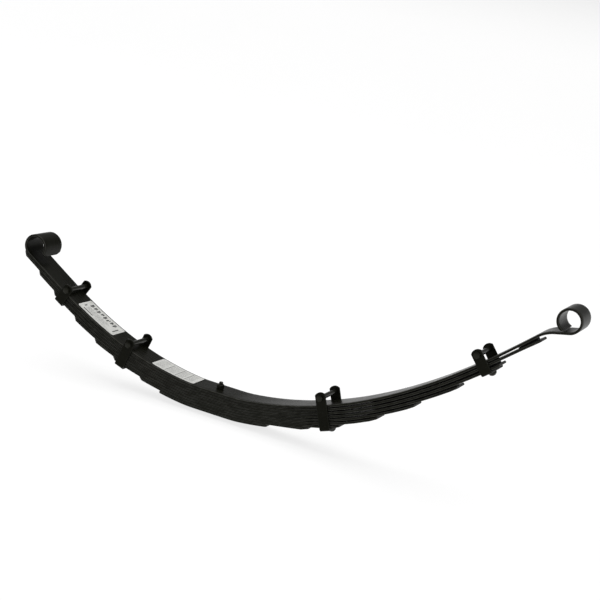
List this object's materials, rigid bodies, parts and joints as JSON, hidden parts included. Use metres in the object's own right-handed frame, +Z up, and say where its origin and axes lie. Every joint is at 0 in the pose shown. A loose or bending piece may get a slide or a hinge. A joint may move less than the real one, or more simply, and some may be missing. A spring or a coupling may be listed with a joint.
{
  "type": "leaf spring",
  "caption": "Semi-elliptic multi-leaf spring with rolled eyes on the main leaf, bolted rebound clips and a centre bolt with a locating head.",
  "frame": {"origin": "centre of the locating head's lower face, under the middle of the spring seat", "axes": "+X along the spring towards the eye that is in line with its leaf (taken as the rear), +Y along the eyes' axes, +Z up through the centre bolt"},
  "size_m": [1.3225, 0.1008, 0.4592],
  "materials": {
    "leaf_paint": "satin black dip paint over rolled spring steel, slightly uneven",
    "clip_paint": "satin black dip paint over bent strip",
    "fastener_paint": "satin black paint, a little worn at the corners",
    "pad_rubber": "matte black anti-squeak pad",
    "label_film": "pale grey printed film"
  },
  "bodies": {
    "leaf_pack": {"main_leaf": "leaf_paint", "second_leaf": "leaf_paint", "third_leaf": "leaf_paint", "fourth_leaf": "leaf_paint", "fifth_leaf": "leaf_paint", "sixth_leaf": "leaf_paint", "seventh_leaf": "leaf_paint", "eighth_leaf": "leaf_paint", "bottom_leaf": "leaf_paint", "second_leaf_pad": "pad_rubber", "second_leaf_liner": "pad_rubber", "third_leaf_liner": "pad_rubber", "fourth_leaf_liner": "pad_rubber", "fifth_leaf_liner": "pad_rubber", "sixth_leaf_liner": "pad_rubber", "centre_bolt": "fastener_paint", "centre_nut": "fastener_paint", "data_sticker": "label_film", "rating_sticker": "label_film"},
    "front_outer_clip": {"front_outer_clip_strap": "clip_paint", "front_outer_clip_rivet": "fastener_paint", "front_outer_clip_bolt": "fastener_paint", "front_outer_clip_nut": "fastener_paint", "front_outer_clip_spacer": "fastener_paint"},
    "front_inner_clip": {"front_inner_clip_strap": "clip_paint", "front_inner_clip_rivet": "fastener_paint", "front_inner_clip_bolt": "fastener_paint", "front_inner_clip_nut": "fastener_paint", "front_inner_clip_spacer": "fastener_paint"},
    "rear_inner_clip": {"rear_inner_clip_strap": "clip_paint", "rear_inner_clip_rivet": "fastener_paint", "rear_inner_clip_bolt": "fastener_paint", "rear_inner_clip_nut": "fastener_paint", "rear_inner_clip_spacer": "fastener_paint"},
    "rear_outer_clip": {"rear_outer_clip_strap": "clip_paint", "rear_outer_clip_rivet": "fastener_paint", "rear_outer_clip_bolt": "fastener_paint", "rear_outer_clip_nut": "fastener_paint", "rear_outer_clip_spacer": "fastener_paint"}
  },
  "joints": [
    {"name": "front_flex", "type": "hinge", "parent": "leaf_pack", "child": "front_outer_clip", "pos_m": [-0.157, 0, 0.0511], "axis": [0, -1, 0], "range_deg": [-3, 10], "stiffness_Nm_per_rad": 3560, "deforming": ["main_leaf", "second_leaf", "third_leaf", "fourth_leaf", "fifth_leaf", "sixth_leaf", "seventh_leaf", "eighth_leaf", "bottom_leaf", "data_sticker", "rating_sticker"]},
    {"name": "front_inner_flex", "type": "hinge", "parent": "leaf_pack", "child": "front_inner_clip", "pos_m": [-0.1854, 0, 0.0607], "axis": [0, -1, 0], "range_deg": [-3, 10]},
    {"name": "rear_flex", "type": "hinge", "parent": "leaf_pack", "child": "rear_outer_clip", "pos_m": [0.214, 0, 0.066], "axis": [0, 1, 0], "range_deg": [-3, 15], "stiffness_Nm_per_rad": 2590, "deforming": ["main_leaf", "second_leaf", "third_leaf", "fourth_leaf", "fifth_leaf", "sixth_leaf", "seventh_leaf", "eighth_leaf", "bottom_leaf", "second_leaf_pad", "second_leaf_liner", "third_leaf_liner", "fourth_leaf_liner", "fifth_leaf_liner", "sixth_leaf_liner"]},
    {"name": "rear_inner_flex", "type": "hinge", "parent": "leaf_pack", "child": "rear_inner_clip", "pos_m": [0.2291, 0, 0.0723], "axis": [0, 1, 0], "range_deg": [-3, 10]}
  ],
  "couplings": [
    {"joint": "front_inner_flex", "follows": "front_flex", "ratio": 0.8994},
    {"joint": "rear_inner_flex", "follows": "rear_flex", "ratio": 0.5571}
  ]
}
